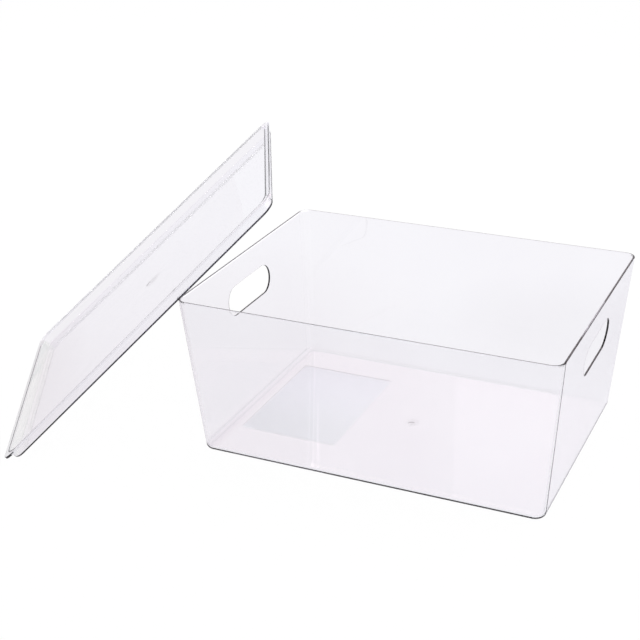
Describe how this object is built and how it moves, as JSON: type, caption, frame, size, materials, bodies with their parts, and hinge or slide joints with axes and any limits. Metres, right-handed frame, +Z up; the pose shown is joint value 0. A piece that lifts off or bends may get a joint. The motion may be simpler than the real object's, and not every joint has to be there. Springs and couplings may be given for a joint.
{
  "type": "storage box with lid",
  "caption": "Clear moulded storage box, wider at its rim than at its base, with a hand slot through each short wall, and a recessed tray lid that leans on a corner of the rim.",
  "frame": {"origin": "centre of the box's footprint, on the ground", "axes": "+X along the box's long side, away from the leaning lid, +Y from the front wall to the back wall, +Z up"},
  "size_m": [0.6533, 0.3718, 0.264],
  "materials": {
    "clear_box": "clear and polished, with a faint lavender cast",
    "clear_lid": "clear and polished, with a faint lavender cast",
    "label": "bare film, matt"
  },
  "bodies": {
    "box": {"box_body": "clear_box", "base_label": "label"},
    "lid": {"lid": "clear_lid"}
  },
  "joints": [
    {"name": "lid_tip", "type": "hinge", "parent": "box", "child": "lid", "pos_m": [-0.40409, -0.10366, 0.00252], "axis": [0.471, -0.8821, 0], "range_deg": [0, 136]}
  ]
}
